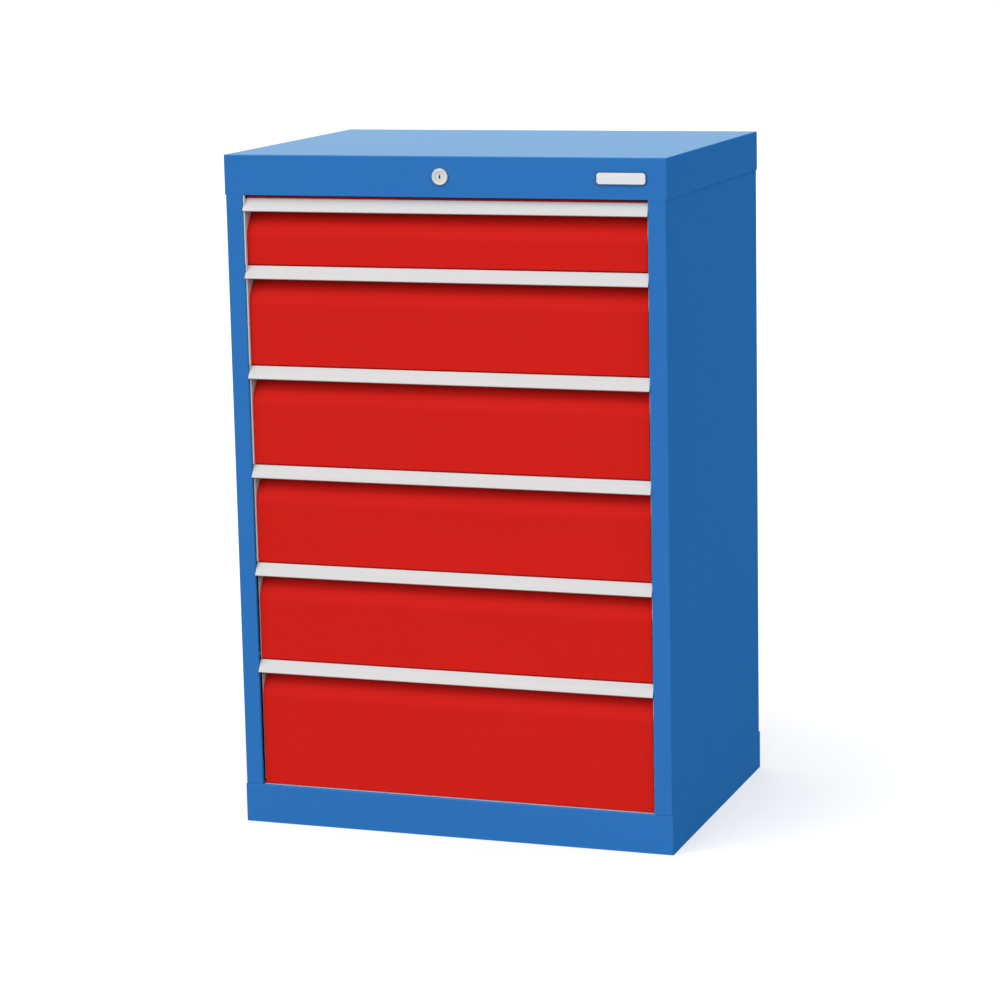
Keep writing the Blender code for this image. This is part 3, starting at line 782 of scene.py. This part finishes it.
def make_front(number):
    """The red front: a folded sheet with the finger recess under the handle."""
    node = f"drawer_{number}_front"
    low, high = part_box(node)
    slope_top = high.z - HANDLE_HEIGHT
    recess_y = low.y + RECESS_DEPTH
    flange = high.z - SHEET
    run = HANDLE_WALL * math.hypot(1, (HANDLE_SETBACK + HANDLE_REACH) / (HANDLE_HEIGHT - HANDLE_NOSE))
    upstand_y = FRONT_Y + HANDLE_SETBACK + run + GAP
    top = lower_edge_above(number) - (COVER_GAP if number == 1 else UPSTAND_GAP)
    bottom = low.z
    if number == len(DRAWERS):
        bottom = min(bottom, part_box("plinth")[1].z + 2 * HIGHLIGHT_STRIP)
    path = [(high.y, bottom), (low.y, bottom), (low.y, slope_top - RECESS_SLOPE), (recess_y, slope_top),
            (recess_y, flange), (upstand_y, flange), (upstand_y, top)]
    work = bmesh.new()
    radii = [FOLD, FOLD, RECESS_FOLD, FOLD, FOLD, RIM_FOLD, FOLD]
    folded(work, path, "X", low.x, high.x, radius=radii, steps=6)
    piece(f"drawer_{number}_front_sheet", work, RED, f"drawer_{number}", [node])


def rounding(radius, inward):
    """How much a rounded corner cuts off at a distance from the end."""
    return radius - math.sqrt(radius ** 2 - (radius - inward) ** 2) if inward < radius else 0


def make_handle(number):
    """The aluminium profile: a leaning face with rounded ends, a lip, and a web behind it."""
    node = f"drawer_{number}_handle"
    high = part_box(node)[1]
    top, low = high.z, high.z - HANDLE_HEIGHT
    front = FRONT_Y - HANDLE_REACH
    lean = Vector((HANDLE_SETBACK + HANDLE_REACH, HANDLE_HEIGHT - HANDLE_NOSE)).normalized()
    across = Vector((lean.y, -lean.x))
    run = HANDLE_WALL / lean.y
    origin = Vector((front, low + HANDLE_NOSE))

    def behind(z):
        """A point on the rear side of the leaning wall."""
        return FRONT_Y + HANDLE_SETBACK - (top - z) * lean.x / lean.y + run, z

    outline = [
        (FRONT_Y + HANDLE_SETBACK, top),
        (front, low + HANDLE_NOSE),
        (front + HANDLE_NOSE, low),
        (front + HANDLE_LIP, low),
        (front + HANDLE_LIP, low + HANDLE_WALL),
        behind(low + HANDLE_WALL),
        behind(top),
    ]
    section = rounded(outline, HANDLE_RADII, 3)
    length = (top - low - HANDLE_NOSE) / lean.y
    stations = [(-1, inward) for inward in HANDLE_STATIONS]
    stations += [(1, inward) for side, inward in stations[::-1]]
    work = bmesh.new()
    rows = []
    for side, inward in stations:
        row = []
        for y, z in section:
            offset = Vector((y, z)) - origin
            along, out = offset.dot(lean), offset.dot(across)
            along = max(rounding(HANDLE_LOW_CORNER, inward) - HANDLE_NOSE,
                        min(length - rounding(HANDLE_TOP_CORNER, inward), along))
            end = HANDLE_END_LOW + (HANDLE_END_TOP - HANDLE_END_LOW) * max(0, along) / length
            point = origin + lean * along + across * out
            row.append(work.verts.new((side * (end - inward), point.x, point.y)))
        rows.append(row)
    skin(work, rows)
    work.faces.new(rows[0][::-1])
    work.faces.new(rows[-1])

    web = top - SHEET - GAP
    web_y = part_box(node)[1].y
    start = behind(web)[0] - HANDLE_WALL / 2
    corners = [(start, web - HANDLE_WALL), (web_y, web - HANDLE_WALL), (web_y, web), (start, web)]
    prism(work, rounded(corners, [0, WEB_CORNER, WEB_CORNER, 0], 3), "X", -FRONT_HALF, FRONT_HALF)
    piece(f"drawer_{number}_handle_profile", work, ALUMINIUM, f"drawer_{number}", [node])


def rail_place(number):
    """The middle height of a drawer's rails, and how far out its runners reach."""
    low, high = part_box(f"drawer_{number}_middle_rail_right")
    return (low.z + high.z) / 2, low.x + MIDDLE_FLANGE - RAIL_SHEET - RAIL_PLAY


def slot_heights(low, high):
    """The middle heights of the rows of divider slots in a wall."""
    count = max(1, int((high - low - WALL_MARGIN) / TRAY_SLOT_ROWS))
    step = (high - low) / (count + 1)
    return [low + step * (i + 1) for i in range(count)]


def slot_places(middle, length):
    """The places of the divider slots along a wall."""
    count = int((length - WALL_MARGIN) / TRAY_SLOT_PITCH)
    first = middle - (count - 1) * TRAY_SLOT_PITCH / 2
    return [first + i * TRAY_SLOT_PITCH for i in range(count)]


def divider_slot(place, z):
    """The outline of one upright divider slot."""
    return box_outline(place - TRAY_SLOT_HALF_WIDTH, place + TRAY_SLOT_HALF_WIDTH,
                       z - TRAY_SLOT_HALF_HEIGHT, z + TRAY_SLOT_HALF_HEIGHT, TRAY_SLOT_CORNER, 2)


def make_tray(number):
    """The grey tray, with rows of divider slots in its sides and its rear wall."""
    node = f"drawer_{number}_box"
    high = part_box(node)[1]
    front_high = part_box(f"drawer_{number}_front")[1]
    level, reach = rail_place(number)
    half = reach - RUNNER_DEPTH
    bulkhead_y = front_high.y + GAP
    bottom = level - RAIL_LEVEL + TRAY_LIFT
    top = front_high.z + FRONT_DROP - TRAY_DROP
    work = bmesh.new()
    tray(work, (-half, bulkhead_y + SHEET / 2, bottom), (half, high.y, top), HEM, 1, HEM_DROP)
    cutters = []
    for z in slot_heights(bottom, top):
        for y in slot_places((high.y + bulkhead_y) / 2, high.y - bulkhead_y):
            cutters.append((divider_slot(y, z), "X", -half - TRAY_CUT, half + TRAY_CUT))
        for x in slot_places(0, 2 * half):
            cutters.append((divider_slot(x, z), "Y", bulkhead_y + TRAY_CUT_START, high.y + TRAY_CUT))
    piece(f"drawer_{number}_tray", work, GREY, f"drawer_{number}", [node], cutters)


def make_bulkhead(number):
    """The sheet behind the front, with its two cheeks.

    The left cheek has a hem where there is room for one, and the slot for the lock's tongue.
    """
    low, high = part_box(f"drawer_{number}_front")
    bulkhead_y = high.y + GAP
    rear = bulkhead_y + SHEET
    cheek_y = FRONT_Y + LEFT_CHEEK_SETBACKS[number - 1]
    work = bmesh.new()
    folded(work, [(-CHEEK_HALF, cheek_y), (-CHEEK_HALF, rear), (CHEEK_HALF, rear),
                  (CHEEK_HALF, low.y + RIGHT_CHEEK_SETBACK)], "Z", low.z, high.z)
    outer, inner = GAP - OPENING_HALF, SHEET + GAP - CHEEK_HALF
    edge = cheek_y - GAP
    finish = min(edge + CHEEK_HEM, FRONT_Y + CHEEK_HEM_END)
    if finish - edge > CHEEK_HEM / 3:
        hem = rounded([(outer, edge), (inner, edge), (inner, finish), (outer, finish)], RIM_FOLD, 2)
        prism(work, hem, "Z", low.z, lower_edge_above(number) - UPSTAND_GAP)
    tongue = rail_place(number)[0] - RAIL_LEVEL + TONGUE_LIFT
    slot = box_outline(TONGUE_SLOT_FRONT, TONGUE_SLOT_REAR,
                       tongue - TONGUE_SLOT_LOW, tongue + TONGUE_SLOT_HIGH)
    cutters = [(slot, "X", -CHEEK_HALF - CHEEK_CUT, -CHEEK_HALF + CHEEK_CUT)]
    piece(f"drawer_{number}_bulkhead", work, GREY, f"drawer_{number}",
          [f"drawer_{number}_box"], cutters)


def make_runners(number):
    """The inner rails of the slides, on the sides of the tray."""
    low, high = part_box(f"drawer_{number}_middle_rail_right")
    level, reach = rail_place(number)
    half = (high.z - low.z) / 2 - RAIL_SHEET - RAIL_PLAY
    work = bmesh.new()
    for side in (-1, 1):
        path = [(reach - RUNNER_DEPTH, level + half), (reach, level + half), (reach, level - half),
                (reach - RUNNER_DEPTH, level - half)]
        folded(work, on_side(side, path), "Y", low.y, low.y + RUNNER_LENGTH)
    piece(f"drawer_{number}_runners", work, ZINC, f"drawer_{number}")


def make_rails(number):
    """The fixed and the middle rails of a drawer's telescopic slides, with their round and long holes."""
    for name, side in SIDES:
        for kind, flange, body in (("cabinet_rail", RAIL_FLANGE, "cabinet"),
                                   ("middle_rail", MIDDLE_FLANGE, f"drawer_{number}_rails")):
            node = f"drawer_{number}_{kind}_{name}"
            low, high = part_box(node)
            outer = high.x if side > 0 else -low.x
            path = [(outer - flange, high.z), (outer, high.z), (outer, low.z), (outer - flange, low.z)]
            work = bmesh.new()
            folded(work, on_side(side, path), "Y", low.y, high.y, RAIL_SHEET)
            level = (low.z + high.z) / 2
            start, finish = sorted(side * (outer + reach) for reach in RAIL_CUT)
            cutters = []
            for i in range(RAIL_HOLES):
                y = low.y + RAIL_HOLE_MARGIN + i * (high.y - low.y - 2 * RAIL_HOLE_MARGIN) / (RAIL_HOLES - 1)
                half = RAIL_HOLE_HALF_LENGTHS[i % 2]
                hole = box_outline(y - half, y + half, level - RAIL_HOLE_HALF_HEIGHT,
                                   level + RAIL_HOLE_HALF_HEIGHT, RAIL_HOLE_CORNER, 4)
                cutters.append((hole, "X", start, finish))
            piece(f"{node}_channel", work, ZINC, body, [node], cutters)


def make_drawers():
    """All six drawers."""
    for number in DRAWERS:
        make_front(number)
        make_handle(number)
        make_tray(number)
        make_bulkhead(number)
        make_runners(number)
        make_rails(number)


# Lock and name plate

def make_lock():
    """The rosette with its rounded rim and a dark ring round it, which is painted shadow, and the cylinder
    with its keyhole and a near black insert in it, which is painted shade.
    """
    low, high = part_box("lock_cylinder")
    cylinder_radius, cylinder_front, cylinder_rear = (high.x - low.x) / 2, low.y, high.y
    low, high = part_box("lock_rosette")
    radius = (high.x - low.x) / 2
    x, y, z = (low.x + high.x) / 2, FRONT_Y - GAP, (low.z + high.z) / 2

    bore = cylinder_radius + LOCK_PLAY
    thick = y - low.y
    depth = high.y - y
    rim = [(radius - inward, thick * share) for inward, share in ROSETTE_RIM]
    mouth = [(bore + outward, thick * share) for outward, share in ROSETTE_MOUTH]
    work = bmesh.new()
    turned(work, [(ROSETTE_NECK, -depth), (ROSETTE_NECK, 0), (radius, 0), *rim, *mouth, (bore, -depth)],
           (x, y, z), 72, closed=True)
    piece("lock_rosette_turned", work, NICKEL, "cabinet", ["lock_rosette"])

    # A thin dark ring round the rosette: painted shadow, in place of the rosette's contact shadow.
    inner = radius - ROSETTE_SHADOW_LAP
    work = bmesh.new()
    turned(work, ((inner, 0), (radius + ROSETTE_SHADOW_RING, 0), (radius + ROSETTE_SHADOW_RING * 0.7, GAP), (inner, GAP)),
           (x, FRONT_Y, z), 72, closed=True)
    piece("lock_rosette_painted_shadow", work, SHADOW_BLUE, "cabinet")

    face = y - cylinder_front
    work = bmesh.new()
    turned(work, [(cylinder_radius, y - cylinder_rear), (cylinder_radius, face - CYLINDER_EDGE),
                  (cylinder_radius - CYLINDER_EDGE, face),
                  *((groove, face - deep) for groove, deep in CYLINDER_GROOVE)], (x, y, z), 64)
    keyhole = [(x + a, z + b) for a, b in KEYHOLE_HALF] + [(x - a, z + b) for a, b in KEYHOLE_HALF[::-1]]
    keyway_end = cylinder_front + 3 * KEYWAY_DEPTH
    piece("lock_cylinder_turned", work, NICKEL, "lock_plug", ["lock_cylinder"],
          [(keyhole, "Y", cylinder_front - KEYHOLE_CUT, keyway_end)])
    # A near black insert fills the keyhole just behind its mouth: painted shade for a deep keyway.
    work = bmesh.new()
    prism(work, keyhole, "Y", cylinder_front + KEYWAY_DEPTH, keyway_end)
    piece("lock_keyway_painted_shade", work, KEYWAY_SHADE_BLACK, "lock_plug")


def make_plate():
    """The bare plate at the right of the fascia, in a dark blue band round its edge, which is painted
    shadow.
    """
    low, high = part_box("name_plate")
    rear, front = high.y, low.y
    # The dark band round the plate stands in for its contact shadow: painted shadow.
    shadow_band = ((0, rear), (0, front + 0.0005), (0.0002, front + 0.0003), (PLATE_SHADOW_BAND, front + 0.0003),
            (PLATE_SHADOW_BAND, rear))
    bare = ((PLATE_SHADOW_BAND + 0.0001, rear), (PLATE_SHADOW_BAND + 0.0001, front + 0.0002), (PLATE_SHADOW_BAND + 0.0003, front),
            (PLATE_SHADOW_BAND + 0.0006, front))
    for name, material, is_ring, profile in (("name_plate_painted_shadow", SHADOW_BLUE, True, shadow_band),
                                             ("name_plate_bare", PALE, False, bare)):
        work = bmesh.new()
        rows = []
        for inset, y in profile:
            outline = box_outline(low.x + inset, high.x - inset, low.z + inset, high.z - inset,
                                  PLATE_CORNER - inset, 6)
            rows.append([work.verts.new((x, y, z)) for x, z in outline])
        skin(work, rows + rows[:1] if is_ring else rows)
        if not is_ring:
            work.faces.new(rows[0][::-1])
            work.faces.new(rows[-1])
        piece(name, work, material, "cabinet", ["name_plate"])


make_cover_and_plinth()
make_side_panels()
make_back()
make_posts()
make_drawers()
make_lock()
make_plate()
for node in ("lock_cam", "lock_link", "lock_link_guide", "lock_shaft"):
    carried(node, ZINC)

bpy.context.scene.view_settings.view_transform = "Standard"
